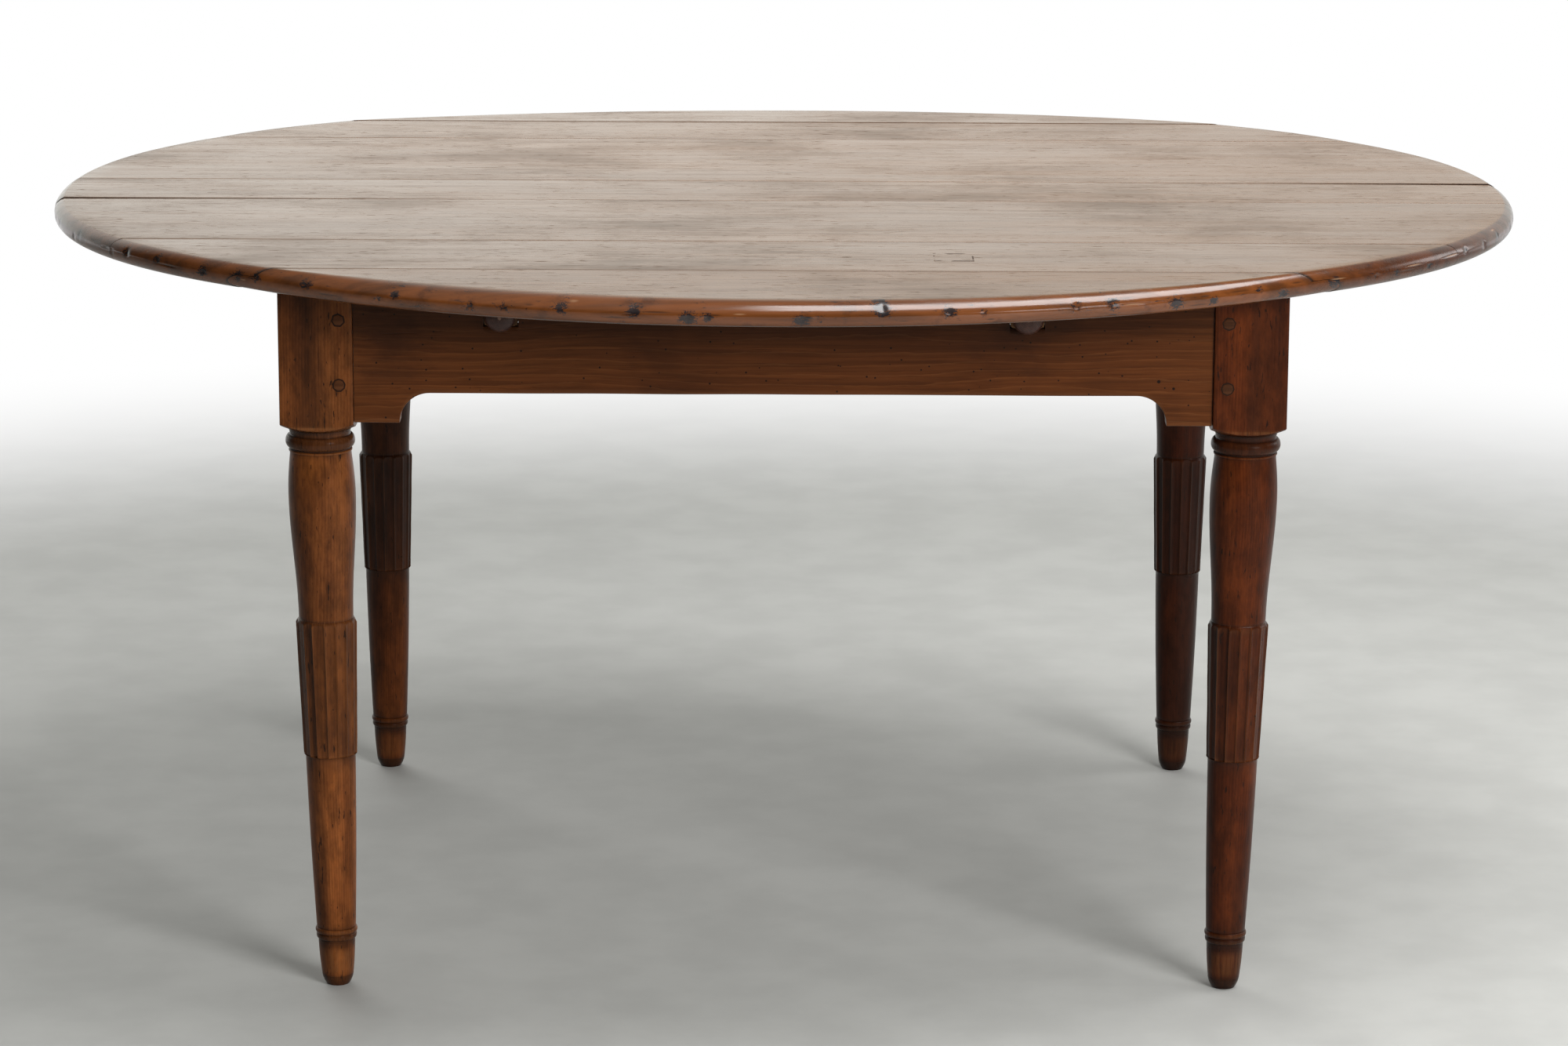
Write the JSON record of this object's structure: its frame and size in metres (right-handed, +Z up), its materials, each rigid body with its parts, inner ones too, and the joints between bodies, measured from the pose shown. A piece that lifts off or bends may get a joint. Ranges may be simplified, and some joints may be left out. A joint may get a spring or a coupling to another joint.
{
  "type": "drop-leaf table",
  "caption": "Oval wooden farmhouse table with hinged drop leaves carried on pull-out knobbed slides, turned fluted legs and pegged aprons.",
  "frame": {"origin": "on the floor under the middle of the top", "axes": "+X along the table's length, +Y from its front to its back, +Z up"},
  "size_m": [1.5352, 1.2204, 0.75],
  "materials": {
    "top_wood": "waxed walnut boards, worn satin",
    "leg_wood": "waxed turned walnut",
    "apron_wood": "waxed walnut, fine worm marks",
    "peg_wood": "dark oak end grain",
    "slide_wood": "dry unpolished oak",
    "knob_wood": "dark polished turned wood",
    "hinge_iron": "dark forged iron"
  },
  "bodies": {
    "frame": {"leg_front_left": "leg_wood", "leg_front_right": "leg_wood", "leg_back_left": "leg_wood", "leg_back_right": "leg_wood", "front_apron": "apron_wood", "back_apron": "apron_wood", "left_apron": "apron_wood", "right_apron": "apron_wood", "peg_front_apron_left_upper": "peg_wood", "peg_front_apron_left_lower": "peg_wood", "peg_front_apron_right_upper": "peg_wood", "peg_front_apron_right_lower": "peg_wood", "peg_back_apron_left_upper": "peg_wood", "peg_back_apron_left_lower": "peg_wood", "peg_back_apron_right_upper": "peg_wood", "peg_back_apron_right_lower": "peg_wood", "peg_left_apron_front_upper": "peg_wood", "peg_left_apron_front_lower": "peg_wood", "peg_left_apron_back_upper": "peg_wood", "peg_left_apron_back_lower": "peg_wood", "peg_right_apron_front_upper": "peg_wood", "peg_right_apron_front_lower": "peg_wood", "peg_right_apron_back_upper": "peg_wood", "peg_right_apron_back_lower": "peg_wood", "top_board_1": "top_wood", "top_board_2": "top_wood", "top_board_3": "top_wood", "top_board_4": "top_wood", "top_board_5": "top_wood", "middle_rail": "slide_wood", "hinge_fixed_plate_front_left": "hinge_iron", "hinge_fixed_plate_front_right": "hinge_iron", "hinge_fixed_plate_back_left": "hinge_iron", "hinge_fixed_plate_back_right": "hinge_iron", "hinge_pin_front_left": "hinge_iron", "hinge_pin_front_right": "hinge_iron", "hinge_pin_back_left": "hinge_iron", "hinge_pin_back_right": "hinge_iron"},
    "front_leaf_body": {"front_leaf": "top_wood", "hinge_leaf_plate_front_left": "hinge_iron", "hinge_leaf_plate_front_right": "hinge_iron"},
    "back_leaf_body": {"back_leaf": "top_wood", "hinge_leaf_plate_back_left": "hinge_iron", "hinge_leaf_plate_back_right": "hinge_iron"},
    "slide_front_left_body": {"slide_front_left": "slide_wood", "knob_front_left": "knob_wood", "stop_peg_front_left": "peg_wood"},
    "slide_front_right_body": {"slide_front_right": "slide_wood", "knob_front_right": "knob_wood", "stop_peg_front_right": "peg_wood"},
    "slide_back_left_body": {"slide_back_left": "slide_wood", "knob_back_left": "knob_wood", "stop_peg_back_left": "peg_wood"},
    "slide_back_right_body": {"slide_back_right": "slide_wood", "knob_back_right": "knob_wood", "stop_peg_back_right": "peg_wood"}
  },
  "joints": [
    {"name": "front_leaf_hinge", "type": "hinge", "parent": "frame", "child": "front_leaf_body", "pos_m": [0, -0.45825, 0.726], "axis": [1, 0, 0], "range_deg": [-2.5, 87.5]},
    {"name": "back_leaf_hinge", "type": "hinge", "parent": "frame", "child": "back_leaf_body", "pos_m": [0, 0.45825, 0.726], "axis": [-1, 0, 0], "range_deg": [-2.5, 87.5]},
    {"name": "slide_front_left_pull", "type": "slide", "parent": "frame", "child": "slide_front_left_body", "axis": [0, 1, 0], "range_m": [-0.13, 0]},
    {"name": "slide_front_right_pull", "type": "slide", "parent": "frame", "child": "slide_front_right_body", "axis": [0, 1, 0], "range_m": [-0.13, 0]},
    {"name": "slide_back_left_pull", "type": "slide", "parent": "frame", "child": "slide_back_left_body", "axis": [0, -1, 0], "range_m": [-0.13, 0]},
    {"name": "slide_back_right_pull", "type": "slide", "parent": "frame", "child": "slide_back_right_body", "axis": [0, -1, 0], "range_m": [-0.13, 0]}
  ]
}
